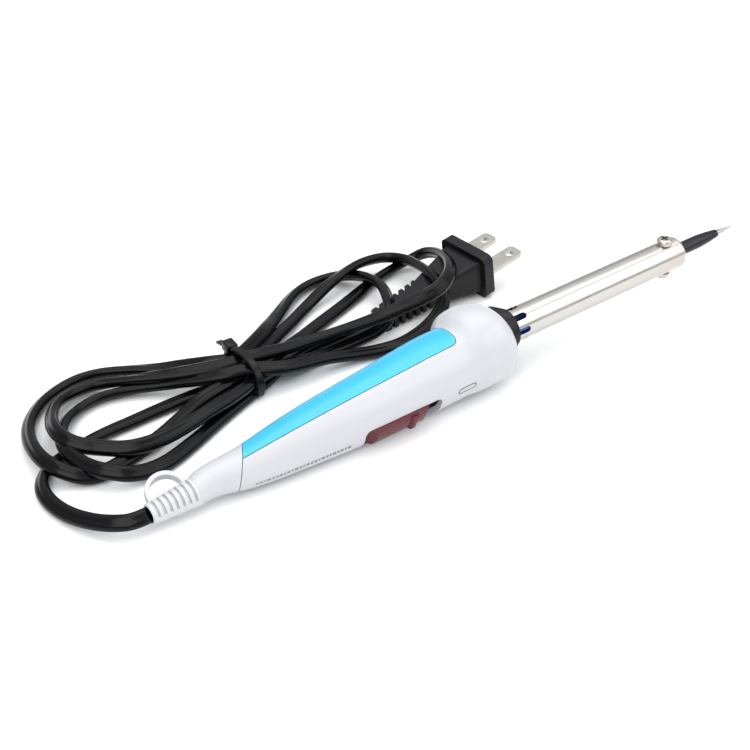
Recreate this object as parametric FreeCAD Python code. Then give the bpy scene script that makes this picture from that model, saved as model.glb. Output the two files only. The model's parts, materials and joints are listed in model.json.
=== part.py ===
import FreeCAD, Part
import math
import os

# Mains soldering iron with a two-level power slider, its folded lead and its plug.
#
# The iron is modelled in its own frame, in millimetres: X runs from the rear end of the strain
# relief (0) to the tip of the bit, on the barrel's axis, Z points out of the handle's back and
# the power slider is on the -Z side. place_iron() then lays it on the table, on its side.
# The lead, the cable tie and the plug are modelled where they lie on the table.

# ---- lengths along the iron ----
RELIEF_LENGTH = 14.9
CONE_LENGTH = 15.6
BODY_LENGTH = 78.4
HEAD_LENGTH = 20.2
COLLAR_PROUD = 5.7
BARREL_PROUD = 74.8
BIT_STICK_OUT = 27.4

# ---- handle ----
HEAD_RADIUS = 14.1
NECK_RADIUS = 11.8
REAR_RADIUS = 4.4
FACE_RADIUS = 9.1
REAR_DROP = 6.3
NECK_DROP = 2.8
HEAD_DROP = 0.8
WALL = 1.8
FIT = 0.12
JOINT_SLOPE = 0.6
SPIGOT_LENGTH = 5.0
SPIGOT_WALL = 1.2
COVER_CORNER = 2.6
COVER_GAP = 0.25

# ---- strain relief and cord ----
CORD_DIAMETER = 5.0
RELIEF_TAIL_RADIUS = 3.2
RELIEF_TAIL_DROP = 6.8
RELIEF_NECK_RADIUS = 3.4
RELIEF_NECK_LENGTH = 5.0
RELIEF_GROOVES = 7
GROOVE_PITCH = 1.95
GROOVE_WIDTH = 0.85
GROOVE_DEPTH = 0.75
LOOP_OPENING_LENGTH = 10.0
LOOP_OPENING_HEIGHT = 5.5
LOOP_THICKNESS = 1.3
LOOP_WIDTH = 2.8
CORD_END_SHARE = 0.4145

# ---- power slider and switch ----
SLIDER_LENGTH = 25.6
SLIDER_WIDTH = 7.6
SLIDER_BEHIND_NECK = 39.9
SLIDER_TRAVEL = 2.5
SLIDER_PROUD = 0.7
SLIDER_CLEARANCE = 0.3
RIB_HEIGHT = 1.3
RIB_WIDTH = 3.0
GUIDE_THICKNESS = 1.0
GUIDE_OVERHANG = 1.0
GUIDE_LAP = 3.2
SWITCH_LENGTH = 15.0
SWITCH_WIDTH = 8.0
SWITCH_HEIGHT = 5.9
LEVER_SIZE = 2.5
TERMINAL_PITCH = 4.5
TERMINAL_HEIGHT = 2.2

# ---- barrel, collar and fixings ----
BARREL_RADIUS = 5.5
BARREL_WALL = 0.6
BARREL_CAP = 1.2
RIM_ROUNDING = 1.2
BARREL_ROOT_INSET = 13.4
VENT_COUNT = 7
VENT_WIDTH = 2.2
VENT_REACH = 5.1
VENT_FIRST_ANGLE = -31.0
COLLAR_RADIUS = 8.7
COLLAR_STEPS = 4
COLLAR_STEP_DROP = 0.55
COLLAR_STEP_LENGTH = 0.95
BULKHEAD_THICKNESS = 2.5
BULKHEAD_INSET = 7.9
FACE_WALL = 4.0
FLANGE_THICKNESS = 2.0
FLANGE_SCREW_OFFSET = BARREL_RADIUS + 2.4
FLANGE_RADIUS = FLANGE_SCREW_OFFSET + 1.9

# ---- bit, its bush, set screws and heater ----
BIT_RADIUS = 2.325
BIT_CONE_LENGTH = 8.0
BIT_TAPER_LENGTH = 9.0
BIT_TAPER_RADIUS = 1.45
BIT_INSERTION = 42.0
TIP_RADIUS = 0.22
BUSH_LENGTH = 11.8
SET_SCREW_FROM_END = 6.1
SET_SCREW_ANGLE = -115.0
SET_SCREW_RADIUS = 1.25
SET_SCREW_HEAD_RADIUS = 2.7
SET_SCREW_HEAD_HEIGHT = 1.9
RUNNING = 0.055
HEATER_LENGTH = 45.8
HEATER_LEAD_RADIUS = 0.35
LEAD_OFFSET = 3.7
LEAD_ANGLES = (-35.0, 145.0)

# ---- how the iron lies on the table ----
ROLL = -65.0
PITCH = 2.7

# ---- plug ----
PLUG_FACE = (39.3, 48.4, 9.0)
PLUG_PITCH = 8.0
PLUG_YAW = 5.4
PLUG_FLANGE = (4.0, 21.8, 16.5)
PLUG_BODY_LENGTH = 20.0
PLUG_BODY_FRONT = (17.6, 12.8)
PLUG_BODY_REAR = (9.6, 7.2)
PLUG_RELIEF_LENGTH = 20.0
PLUG_RELIEF_END = (7.4, 5.6)
PLUG_NOTCHES = 6
BLADE_SPACING = 12.7
BLADE_WIDTH = 6.35
BLADE_THICKNESS = 1.5
BLADE_LENGTH = 16.0
BLADE_HOLE_RADIUS = 1.5
BLADE_HOLE_FROM_TIP = 3.9
BLADE_ROOT = 6.0
BLADE_SHOULDER = 3.0
BLADE_TONGUE_WIDTH = 2.8

# ---- lead on the table, in the table's frame ----
CORD_Z = CORD_DIAMETER / 2 + 0.1
TAIL_POINTS = [(-127.5, -2.0, 5.3), (-131.2, 3.0, 4.3), (-134.4, 9.8, 3.2), (-136.4, 16.8, CORD_Z),
               (-137.0, 23.6, CORD_Z), (-135.6, 29.6, CORD_Z), (-131.6, 34.8, CORD_Z), (-125.4, 38.6, CORD_Z)]
EXIT_RUN = 4.6
TAIL_ORIGIN_X = -118.204
TIE_X = -59.0
TIE_WIDTH = 3.0
TIE_THICKNESS = 1.0
BUNDLE_Y = (30.6, 51.0)
BUNDLE_TOP = 11.3
HANK_HEIGHT = 9.4
LEFT_OUTLINE = [(-62.0, 54.6), (-76.0, 59.4), (-94.0, 72.4), (-106.0, 75.0), (-118.0, 71.0), (-128.0, 62.0),
                (-133.0, 49.0), (-132.2, 37.0), (-127.5, 26.0), (-118.0, 17.0), (-107.0, 12.4),
                (-97.0, 13.6), (-84.0, 19.6), (-72.0, 26.0), (-62.0, 31.6)]
RIGHT_OUTLINE = [(-56.0, 54.6), (-34.0, 68.0), (-22.0, 77.4), (-9.0, 83.2), (4.0, 82.6), (18.0, 83.6),
                 (30.0, 79.0), (38.4, 70.4), (36.0, 60.4), (33.0, 48.0), (26.4, 38.6),
                 (10.0, 27.4), (-6.0, 24.4), (-24.0, 29.6), (-40.0, 33.6), (-56.0, 33.0)]
BRIDGE_HEIGHT = 21.0
BRIDGE_X = (-3.0, 34.6)

CONE_X = RELIEF_LENGTH
JOINT_X = CONE_X + CONE_LENGTH
NECK_X = JOINT_X + BODY_LENGTH
FACE_X = NECK_X + HEAD_LENGTH
COLLAR_X = FACE_X + COLLAR_PROUD
BARREL_END_X = COLLAR_X + BARREL_PROUD
TIP_X = BARREL_END_X + BIT_STICK_OUT
RELIEF_TILT = math.degrees(math.atan((RELIEF_TAIL_DROP - REAR_DROP) / RELIEF_LENGTH))
SLIDER_X = NECK_X - SLIDER_BEHIND_NECK
AXIS = FreeCAD.Vector(1, 0, 0)
ORIGIN = FreeCAD.Vector(0, 0, 0)


def vec(x, y, z):
    return FreeCAD.Vector(x, y, z)


def mix(start, end, share):
    return start + (end - start) * share


def rod(x0, x1, radius, y=0.0, z=0.0):
    return Part.makeCylinder(radius, x1 - x0, vec(x0, y, z), AXIS)


def post(x, y, z0, z1, radius):
    return Part.makeCylinder(radius, z1 - z0, vec(x, y, z0), vec(0, 0, 1))


def sleeve(x0, x1, outer, inner):
    return rod(x0, x1, outer).cut(rod(x0 - 1, x1 + 1, inner))


def block(x0, x1, half_y, z0, z1):
    return Part.makeBox(x1 - x0, 2 * half_y, z1 - z0, vec(x0, -half_y, z0))


def turned(points):
    """Solid of revolution about X from (x, radius) points that start and end on the axis."""
    outline = Part.makePolygon([vec(x, 0, r) for x, r in points] + [vec(points[0][0], 0, points[0][1])])
    return Part.Face(outline).revolve(ORIGIN, AXIS, 360)


def plate_xz(points, half_y):
    outline = Part.makePolygon([vec(x, -half_y, z) for x, z in points + points[:1]])
    return Part.Face(outline).extrude(vec(0, 2 * half_y, 0))


def fused(shapes):
    return shapes[0].multiFuse(shapes[1:]).removeSplitter()


def around(shape, angle):
    """Turns a shape built above the axis, on +Z, to an angle measured from the slider's side."""
    turned_shape = shape.copy()
    turned_shape.rotate(ORIGIN, AXIS, angle + 180)
    return turned_shape


def polar(radius, angle):
    return radius * math.sin(math.radians(angle)), -radius * math.cos(math.radians(angle))


# ---- handle envelope ----

def handle_sections():
    """(x, drop of the centre below the barrel's axis, radius, lean of the section in degrees)."""
    cone = [(0.0, 1.0, 0.0), (0.84, 0.843, 0.209)]
    body = [(0.172, 0.771, 0.486), (0.328, 0.614, 0.649), (0.522, 0.486, 0.797),
            (0.714, 0.271, 0.899), (0.969, 0.03, 0.993)]
    flare = [(0.066, 0.95, 0.05, 3), (0.272, 0.4, 0.72, 9), (0.477, 0.05, 1.0, 13), (0.663, 0.0, 1.0, 13)]
    nose = [(0.84, 0.5, 0.727, 12), (0.959, 0.2, 0.236, 11), (1.0, 0.1, 0.0, 11)]
    rows = []
    for share, fall, swell in cone:
        rows.append((CONE_X + share * CONE_LENGTH, mix(NECK_DROP, REAR_DROP, fall),
                     mix(REAR_RADIUS, NECK_RADIUS, swell), 0))
    for share, fall, swell in body:
        rows.append((JOINT_X + share * BODY_LENGTH, mix(NECK_DROP, REAR_DROP, fall),
                     mix(REAR_RADIUS, NECK_RADIUS, swell), 0))
    for share, fall, swell, lean in flare:
        rows.append((NECK_X + share * HEAD_LENGTH, mix(HEAD_DROP, NECK_DROP, fall),
                     mix(NECK_RADIUS, HEAD_RADIUS, swell), lean))
    for share, fall, swell, lean in nose:
        rows.append((NECK_X + share * HEAD_LENGTH, HEAD_DROP * fall,
                     mix(FACE_RADIUS, HEAD_RADIUS, swell), lean))
    return rows


def envelope(inset):
    rings = []
    for x, drop, radius, lean in handle_sections():
        normal = vec(math.cos(math.radians(lean)), 0, math.sin(math.radians(lean)))
        rings.append(Part.Wire(Part.makeCircle(radius - inset, vec(x, 0, -drop), normal)))
    return Part.makeLoft(rings, True, False)


def section_at(x):
    """Centre drop and radius of the handle at a station of the body."""
    rows = handle_sections()
    for before, after in zip(rows, rows[1:]):
        if before[0] <= x <= after[0]:
            share = (x - before[0]) / (after[0] - before[0])
            return mix(before[1], after[1], share), mix(before[2], after[2], share)
    return rows[-1][1], rows[-1][2]


def joint_line(z):
    """X of the slanted joint between the rear cone and the handle, at a height."""
    return JOINT_X + JOINT_SLOPE * (z + section_at(JOINT_X)[0])


def behind_joint(offset):
    """Everything behind the slanted joint, moved forward by an offset."""
    low, high = -40.0, 40.0
    return plate_xz([(-10, low), (joint_line(low) + offset, low), (joint_line(high) + offset, high), (-10, high)], 40)


def split_z(x):
    """Height of the line where the back cover meets the housing."""
    return mix(-section_at(JOINT_X)[0], -NECK_DROP, (x - JOINT_X) / BODY_LENGTH)


def cover_region(gap):
    """The back half of the body, from the rear joint to the neck, grown by a gap on its edges."""
    high = 40.0
    rear = joint_line(split_z(JOINT_X)) - 8
    front = NECK_X + gap
    region = plate_xz([(rear, split_z(rear) - gap), (front, split_z(front) - gap), (front, high), (rear, high)], 40)
    corner = [edge for edge in region.Edges
              if edge.BoundBox.XLength < 0.01 and edge.BoundBox.ZLength < 0.01
              and abs(edge.BoundBox.XMin - front) < 0.01 and edge.BoundBox.ZMin < 0]
    return region.makeFillet(COVER_CORNER + gap, corner).cut(behind_joint(0.0))


def cavity(inset):
    """Inside of the handle, up to the wall behind its face."""
    return envelope(inset).common(block(CONE_X, FACE_X - FACE_WALL, 30, -30, 30))


def handle_shell():
    return envelope(0.0).cut(cavity(WALL)).cut(behind_joint(0.0))


# ---- slider stations ----

def slider_floor():
    drop, radius = section_at(SLIDER_X + SLIDER_LENGTH / 2)
    return -(drop + radius)


def guide_bottom():
    drop, radius = section_at(SLIDER_X - GUIDE_LAP)
    half = SLIDER_WIDTH / 2 + GUIDE_OVERHANG
    return -drop - math.sqrt((radius - WALL) ** 2 - half ** 2) + SLIDER_CLEARANCE


SLOT_CLEARANCE = 0.3
GUIDE_TOP = guide_bottom() + GUIDE_THICKNESS
SWITCH_X = SLIDER_X + 13.0
SWITCH_BOTTOM = GUIDE_TOP + 2.2
SWITCH_TOP = SWITCH_BOTTOM + SWITCH_HEIGHT
CORD_END_X = JOINT_X + CORD_END_SHARE * BODY_LENGTH
CLAMP_X = CORD_END_X - 5.0


def cord_axis_z(x):
    return -RELIEF_TAIL_DROP + x * math.tan(math.radians(RELIEF_TILT))


CLAMP_BOTTOM = cord_axis_z(CLAMP_X) + CORD_DIAMETER / 2 + 0.15
CLAMP_SCREW_Y = CORD_DIAMETER / 2 + 1.5
CLAMP_THICKNESS = 1.3
BULKHEAD_X = FACE_X - BULKHEAD_INSET


def handle_housing():
    shell = handle_shell().cut(cover_region(COVER_GAP))
    inside = cavity(WALL / 2)
    front = SLIDER_X + SLIDER_LENGTH + SLIDER_TRAVEL + SLOT_CLEARANCE
    slot = block(SLIDER_X - SLOT_CLEARANCE, front, SLIDER_WIDTH / 2 + 0.2, -40, guide_bottom())
    slot = slot.makeFillet(2.0, [e for e in slot.Edges if e.BoundBox.ZLength > 20])
    additions = []
    for x0 in (SWITCH_X - SWITCH_LENGTH / 2 - 1.6, SWITCH_X + SWITCH_LENGTH / 2 + 0.1):
        rib = block(x0, x0 + 1.5, 20, GUIDE_TOP + 0.4, split_z(x0) - COVER_GAP - 0.1)
        additions.append(rib.common(inside))
    for y in (-CLAMP_SCREW_Y, CLAMP_SCREW_Y):
        boss = post(CLAMP_X, y, -30, CLAMP_BOTTOM - 0.1, 1.45)
        additions.append(boss.common(inside))
    bulkhead = block(BULKHEAD_X, BULKHEAD_X + BULKHEAD_THICKNESS, 20, -20, 20).common(inside)
    additions.append(bulkhead)
    housing = fused([shell.cut(slot)] + additions)
    holes = [rod(BULKHEAD_X - 1, FACE_X + 10, BARREL_RADIUS + 0.1),
             rod(BULKHEAD_X + BULKHEAD_THICKNESS, FACE_X + 10, COLLAR_RADIUS + FIT)]
    for y in (-FLANGE_SCREW_OFFSET, FLANGE_SCREW_OFFSET):
        holes.append(rod(BULKHEAD_X - 1, BULKHEAD_X + 5, 1.15, y))
    for y in (-CLAMP_SCREW_Y, CLAMP_SCREW_Y):
        holes.append(post(CLAMP_X, y, CLAMP_BOTTOM - 5, CLAMP_BOTTOM + 1, 0.95))
    for hole in holes:
        housing = housing.cut(hole)
    return housing


def back_cover():
    return handle_shell().common(cover_region(0.0))


def rear_cone():
    outer = envelope(0.0).common(behind_joint(-COVER_GAP))
    spigot = envelope(WALL + FIT).common(behind_joint(SPIGOT_LENGTH))
    cone = outer.fuse(spigot).cut(envelope(WALL + SPIGOT_WALL))
    cone = cone.cut(tilted(rod(0, NECK_X, CORD_DIAMETER / 2 + 0.1)))
    cone = cone.cut(tilted(rod(-1, RELIEF_LENGTH + 0.05, 2 * REAR_RADIUS)))
    return cone.cut(tilted(rod(0, CONE_X + RELIEF_NECK_LENGTH + 0.1, RELIEF_NECK_RADIUS + 0.06)))


# ---- strain relief, in line with the cord ----

def tilted(shape):
    """Moves a shape built on X to the strain relief's own slightly rising axis."""
    moved = shape.copy()
    moved.rotate(ORIGIN, vec(0, 1, 0), -RELIEF_TILT)
    moved.translate(vec(0, 0, -RELIEF_TAIL_DROP))
    return moved


def hanging_loop():
    """Flat strap that arches over the back of the strain relief."""
    middle = RELIEF_LENGTH / 2 + 0.6
    foot = RELIEF_TAIL_RADIUS
    outer_length = LOOP_OPENING_LENGTH / 2 + LOOP_THICKNESS
    top = foot + LOOP_OPENING_HEIGHT
    solids = []
    for grow, half_width in ((LOOP_THICKNESS, LOOP_WIDTH / 2), (0.0, LOOP_WIDTH)):
        half = outer_length - LOOP_THICKNESS + grow
        high = top + grow
        left = Part.Arc(vec(middle - half, -half_width, foot),
                        vec(middle - half * 0.72, -half_width, mix(foot, high, 0.72)),
                        vec(middle, -half_width, high))
        right = Part.Arc(vec(middle, -half_width, high),
                         vec(middle + half * 0.72, -half_width, mix(foot, high, 0.72)),
                         vec(middle + half, -half_width, foot))
        base = [vec(middle + half, -half_width, foot), vec(middle + half, -half_width, foot - 1.2 + grow * 0.1),
                vec(middle - half, -half_width, foot - 1.2 + grow * 0.1), vec(middle - half, -half_width, foot)]
        edges = [left.toShape(), right.toShape()]
        edges += [Part.LineSegment(a, b).toShape() for a, b in zip(base, base[1:])]
        solids.append(Part.Face(Part.Wire(edges)).extrude(vec(0, 2 * half_width, 0)))
    return solids[0].cut(solids[1])


def strain_relief():
    body = Part.makeCone(RELIEF_TAIL_RADIUS, REAR_RADIUS, RELIEF_LENGTH, ORIGIN, AXIS)
    tail_rim = [e for e in body.Edges if e.BoundBox.XMax < 0.01]
    body = body.makeFillet(0.4, tail_rim)
    for index in range(RELIEF_GROOVES):
        x = 1.3 + index * GROOVE_PITCH
        radius = mix(RELIEF_TAIL_RADIUS, REAR_RADIUS, x / RELIEF_LENGTH)
        ring = sleeve(x, x + GROOVE_WIDTH, radius + 1, radius - GROOVE_DEPTH)
        body = body.cut(ring.cut(block(x - 1, x + 2, radius * 0.42, -10, 10)))
    neck = rod(RELIEF_LENGTH - 0.5, RELIEF_LENGTH + RELIEF_NECK_LENGTH, RELIEF_NECK_RADIUS)
    relief = fused([body, neck, hanging_loop()])
    return tilted(relief.cut(rod(-1, 40, CORD_DIAMETER / 2 + 0.05)))


def cord_in_handle():
    return tilted(rod(0, CORD_END_X, CORD_DIAMETER / 2))


def cord_clamp():
    half = CLAMP_SCREW_Y + 1.2
    bar = block(CLAMP_X - 2, CLAMP_X + 2, half, CLAMP_BOTTOM, CLAMP_BOTTOM + CLAMP_THICKNESS)
    bar = bar.makeFillet(0.8, [e for e in bar.Edges if e.BoundBox.ZLength > 0.5])
    for y in (-CLAMP_SCREW_Y, CLAMP_SCREW_Y):
        bar = bar.cut(post(CLAMP_X, y, CLAMP_BOTTOM - 1, CLAMP_BOTTOM + 3, 1.05))
    return bar


def cord_clamp_screws():
    screws = []
    top = CLAMP_BOTTOM + CLAMP_THICKNESS
    for y in (-CLAMP_SCREW_Y, CLAMP_SCREW_Y):
        shank = post(CLAMP_X, y, CLAMP_BOTTOM - 4.5, top + 0.2, 0.9)
        head = post(CLAMP_X, y, top, top + 0.8, 1.35)
        cross = block(CLAMP_X - 0.9, CLAMP_X + 0.9, 0.25, top + 0.4, top + 2)
        cross.translate(vec(0, y, 0))
        screws.append(shank.fuse(head).cut(cross))
    return Part.makeCompound(screws)


# ---- switch gear ----

def power_slider():
    floor = slider_floor()
    half = SLIDER_WIDTH / 2
    x1 = SLIDER_X + SLIDER_LENGTH
    radius = section_at(SLIDER_X + SLIDER_LENGTH / 2)[1] + SLIDER_PROUD
    crown = rod(SLIDER_X - 5, x1 + 5, radius, 0, floor - SLIDER_PROUD + radius)
    top = [(SLIDER_X, floor + 2.4), (SLIDER_X + 4.0, floor - SLIDER_PROUD), (x1 - 4.0, floor - SLIDER_PROUD),
           (x1, floor + 2.4), (x1, GUIDE_TOP), (SLIDER_X, GUIDE_TOP)]
    button = plate_xz(top, half).common(crown)
    button = button.makeFillet(1.6, [e for e in button.Edges
                                     if abs(e.BoundBox.YMin) > half - 0.01 and e.BoundBox.YLength < 0.01
                                     and e.BoundBox.XLength < 0.01 and e.BoundBox.ZLength > 1])
    rib_x = SLIDER_X + SLIDER_LENGTH * 0.68
    ridge_half = half - 1.0
    ridge = Part.makeCylinder(RIB_WIDTH / 2, 2 * ridge_half, vec(rib_x, -ridge_half, floor - 0.2), vec(0, 1, 0))
    guide = block(SLIDER_X - GUIDE_LAP, x1 + GUIDE_LAP + 0.4, half + GUIDE_OVERHANG, guide_bottom(), GUIDE_TOP)
    keep = rod(rib_x - 3, rib_x + 3, radius + RIB_HEIGHT - 0.2, 0, floor - SLIDER_PROUD + radius)
    return fused([button, ridge.common(keep), guide])


def lever_x():
    return SWITCH_X - SLIDER_TRAVEL / 2 - LEVER_SIZE / 2


def switch_lever():
    x0 = lever_x()
    lever = block(x0, x0 + LEVER_SIZE, LEVER_SIZE / 2, GUIDE_TOP, SWITCH_BOTTOM + 1.6)
    return lever.makeChamfer(0.3, [e for e in lever.Edges if e.BoundBox.ZLength > 1])


def switch_body():
    half = SWITCH_LENGTH / 2
    case = block(SWITCH_X - half, SWITCH_X + half, SWITCH_WIDTH / 2, SWITCH_BOTTOM, SWITCH_TOP)
    case = case.makeFillet(0.5, [e for e in case.Edges if e.BoundBox.ZLength > 1])
    x0 = lever_x()
    window = block(x0 - 0.4, x0 + LEVER_SIZE + SLIDER_TRAVEL + 0.4, LEVER_SIZE / 2 + 0.3,
                   SWITCH_BOTTOM - 1, SWITCH_BOTTOM + 2.0)
    return case.cut(window)


def switch_terminals():
    tabs = []
    for step in (-1, 0, 1):
        x = SWITCH_X + step * TERMINAL_PITCH
        tab = block(x - 0.25, x + 0.25, 1.0, SWITCH_TOP, SWITCH_TOP + TERMINAL_HEIGHT)
        eye = Part.makeCylinder(0.45, 4, vec(x - 2, 0, SWITCH_TOP + TERMINAL_HEIGHT * 0.6), AXIS)
        tabs.append(tab.cut(eye))
    return Part.makeCompound(tabs)


def bent_wire(points, radius, bend):
    """Round wire through corner points, each corner an arc of one bend radius."""
    edges = []
    start = vec(*points[0])
    for before, corner, after in zip(points, points[1:], points[2:]):
        back = (vec(*before) - vec(*corner)).normalize()
        ahead = (vec(*after) - vec(*corner)).normalize()
        half_turn = (math.pi - back.getAngle(ahead)) / 2
        reach = bend * math.tan(half_turn)
        middle = (back + ahead).normalize()
        arc_start = vec(*corner) + back * reach
        arc_end = vec(*corner) + ahead * reach
        centre = vec(*corner) + middle * (bend / math.cos(half_turn))
        edges.append(Part.LineSegment(start, arc_start).toShape())
        edges.append(Part.Arc(arc_start, centre - middle * bend, arc_end).toShape())
        start = arc_end
    edges.append(Part.LineSegment(start, vec(*points[-1])).toShape())
    path = Part.Wire(edges)
    direction = vec(*points[1]) - vec(*points[0])
    ring = Part.Wire(Part.makeCircle(radius, vec(*points[0]), direction))
    return path.makePipeShell([ring], True, True)


def rectifier_diode():
    foot = SWITCH_TOP + TERMINAL_HEIGHT
    z = foot + 1.3
    x0 = SWITCH_X - TERMINAL_PITCH
    x1 = SWITCH_X + TERMINAL_PITCH
    legs = bent_wire([(x0, 0, foot), (x0, 0, z), (x1, 0, z), (x1, 0, foot)], 0.35, 0.8)
    return legs.fuse(rod(SWITCH_X - 2.6, SWITCH_X + 2.6, 1.2, 0, z))


def live_conductor():
    z = cord_axis_z(CORD_END_X)
    x1 = SWITCH_X - TERMINAL_PITCH - 0.45
    z1 = SWITCH_TOP + 1.3
    return bent_wire([(CORD_END_X + 0.4, -1.25, z), (CORD_END_X + 3.5, -1.25, z + 0.4),
                      (CORD_END_X + 9.0, -2.2, z1), (x1, -0.4, z1)], 0.85, 2.5)


def neutral_conductor():
    z = cord_axis_z(CORD_END_X)
    y1, z1 = polar(LEAD_OFFSET, LEAD_ANGLES[1])
    return bent_wire([(CORD_END_X + 0.4, 1.25, z), (CORD_END_X + 4.0, 1.8, z + 0.8), (CORD_END_X + 10, 5.2, 0.2),
                      (NECK_X - 13, 5.2, 1.6), (NECK_X - 8, y1, z1), (NECK_X - 4.9, y1, z1)], 0.85, 2.5)


def switch_lead():
    y1, z1 = polar(LEAD_OFFSET, LEAD_ANGLES[0])
    x0 = SWITCH_X + TERMINAL_PITCH + 0.45
    z0 = SWITCH_TOP + 1.4
    return bent_wire([(x0, -0.2, z0), (x0 + 4, -0.8, z0), (NECK_X - 9, y1, z1), (NECK_X - 4.9, y1, z1)], 0.85, 2.5)


def crimp_splices():
    crimps = []
    for angle in LEAD_ANGLES:
        y, z = polar(LEAD_OFFSET, angle)
        barrel = rod(NECK_X - 4.8, NECK_X + 2.2, 1.6, y, z)
        bore = rod(NECK_X + 0.2, NECK_X + 3, HEATER_LEAD_RADIUS + 0.05, y, z)
        waist = rod(NECK_X - 2.4, NECK_X - 1.4, 2.2, y, z).cut(rod(NECK_X - 2.5, NECK_X - 1.3, 1.35, y, z))
        crimps.append(barrel.cut(bore).cut(waist))
    return Part.makeCompound(crimps)


# ---- barrel ----

def front_collar():
    points = [(BULKHEAD_X + BULKHEAD_THICKNESS + 0.1, BARREL_RADIUS + 0.1)]
    points.append((points[0][0], COLLAR_RADIUS))
    x = COLLAR_X - COLLAR_STEPS * COLLAR_STEP_LENGTH
    radius = COLLAR_RADIUS
    for _ in range(COLLAR_STEPS):
        points.append((x, radius))
        radius -= COLLAR_STEP_DROP
        points.append((x + 0.35, radius))
        x += COLLAR_STEP_LENGTH
    points.append((COLLAR_X, radius))
    points.append((COLLAR_X, BARREL_RADIUS + 0.1))
    return turned(points)


def barrel_root_x():
    return FACE_X - BARREL_ROOT_INSET


def barrel_tube():
    x0 = barrel_root_x()
    body = rod(x0, BARREL_END_X, BARREL_RADIUS)
    rim = [e for e in body.Edges if e.BoundBox.XMin > BARREL_END_X - 0.01]
    body = body.makeFillet(RIM_ROUNDING, rim)
    body = body.cut(rod(x0 - 1, BARREL_END_X - BARREL_CAP, BARREL_RADIUS - BARREL_WALL))
    body = body.cut(rod(BARREL_END_X - 3, BARREL_END_X + 1, BIT_RADIUS + 0.35))
    for index in range(VENT_COUNT):
        end = COLLAR_X + VENT_REACH - VENT_WIDTH / 2
        vent = block(COLLAR_X - 3, end, VENT_WIDTH / 2, 0, 10).fuse(post(end, 0, 0, 10, VENT_WIDTH / 2))
        body = body.cut(around(vent, VENT_FIRST_ANGLE + index * 360.0 / VENT_COUNT))
    for angle in (SET_SCREW_ANGLE, SET_SCREW_ANGLE + 180):
        body = body.cut(around(set_screw_bore(), angle))
    return body


def barrel_flange():
    x1 = BULKHEAD_X - 0.05
    ring = sleeve(x1 - FLANGE_THICKNESS, x1, FLANGE_RADIUS, BARREL_RADIUS + 0.02)
    for y in (-FLANGE_SCREW_OFFSET, FLANGE_SCREW_OFFSET):
        ring = ring.cut(rod(x1 - 5, x1 + 5, 1.25, y))
    return ring


def flange_screws():
    screws = []
    under_head = BULKHEAD_X - 0.1 - FLANGE_THICKNESS
    for y in (-FLANGE_SCREW_OFFSET, FLANGE_SCREW_OFFSET):
        shank = rod(under_head - 0.2, BULKHEAD_X + 2.2, 1.1, y)
        head = rod(under_head - 1.5, under_head, 1.95, y)
        cross = block(under_head - 2.5, under_head - 0.8, 0.3, -1.2, 1.2)
        cross.translate(vec(0, y, 0))
        screws.append(shank.fuse(head).cut(cross))
    return Part.makeCompound(screws)


def set_screw_x():
    return BARREL_END_X - SET_SCREW_FROM_END


def set_screw_bore():
    return post(set_screw_x(), 0, 0, 10, SET_SCREW_RADIUS + RUNNING)


def set_screw(angle):
    """Cross-recessed pan-head screw that clamps the bit, standing on the barrel."""
    x = set_screw_x()
    seat = BARREL_RADIUS + 0.05
    top = seat + SET_SCREW_HEAD_HEIGHT
    shank = post(x, 0, BIT_RADIUS + 0.05, seat + 0.3, SET_SCREW_RADIUS)
    head = post(x, 0, seat, top, SET_SCREW_HEAD_RADIUS)
    head = head.makeFillet(1.1, [e for e in head.Edges if e.BoundBox.ZMin > top - 0.01])
    screw = shank.fuse(head)
    for half_x, half_y in ((1.6, 0.38), (0.38, 1.6)):
        screw = screw.cut(block(x - half_x, x + half_x, half_y, top - 1.0, top + 1))
    return around(screw, angle)


def bit_bush():
    x1 = BARREL_END_X - BARREL_CAP - 0.05
    bush = sleeve(x1 - BUSH_LENGTH, x1, BARREL_RADIUS - BARREL_WALL - 0.05, BIT_RADIUS + RUNNING)
    for angle in (SET_SCREW_ANGLE, SET_SCREW_ANGLE + 180):
        bush = bush.cut(around(set_screw_bore(), angle))
    return bush


def soldering_bit():
    cone_x = TIP_X - BIT_CONE_LENGTH
    taper_x = cone_x - BIT_TAPER_LENGTH
    root_x = BARREL_END_X - BIT_INSERTION
    points = [(root_x, 0), (root_x, BIT_RADIUS - 0.4), (root_x + 0.4, BIT_RADIUS), (taper_x, BIT_RADIUS),
              (mix(taper_x, cone_x, 0.5), mix(BIT_RADIUS, BIT_TAPER_RADIUS, 0.4)),
              (cone_x - 0.3, BIT_TAPER_RADIUS), (cone_x, BIT_TAPER_RADIUS - 0.3), (TIP_X - 0.15, TIP_RADIUS),
              (TIP_X, 0)]
    return turned(points)


# ---- heater, on the barrel's axis ----

def heater_end_x():
    return BARREL_END_X - BARREL_CAP - 0.15 - BUSH_LENGTH


def heater_core():
    x1 = heater_end_x()
    return sleeve(x1 - HEATER_LENGTH, x1, BIT_RADIUS + 0.7, BIT_RADIUS + RUNNING + 0.05)


def inner_mica():
    x1 = heater_end_x()
    return sleeve(x1 - HEATER_LENGTH + 1, x1 - 1, BIT_RADIUS + 0.97, BIT_RADIUS + 0.72)


def heater_winding():
    x0 = heater_end_x() - HEATER_LENGTH + 4
    x1 = heater_end_x() - 4
    turns = 18
    pitch = (x1 - x0) / turns
    low = BIT_RADIUS + 1.35
    high = BIT_RADIUS + 1.7
    points = [(x0, BIT_RADIUS + 1.0), (x0, low)]
    for index in range(turns):
        start = x0 + index * pitch
        points += [(start + 0.2 * pitch, low), (start + 0.4 * pitch, high), (start + 0.8 * pitch, high)]
    points += [(x1, low), (x1, BIT_RADIUS + 1.0)]
    return turned(points)


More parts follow.
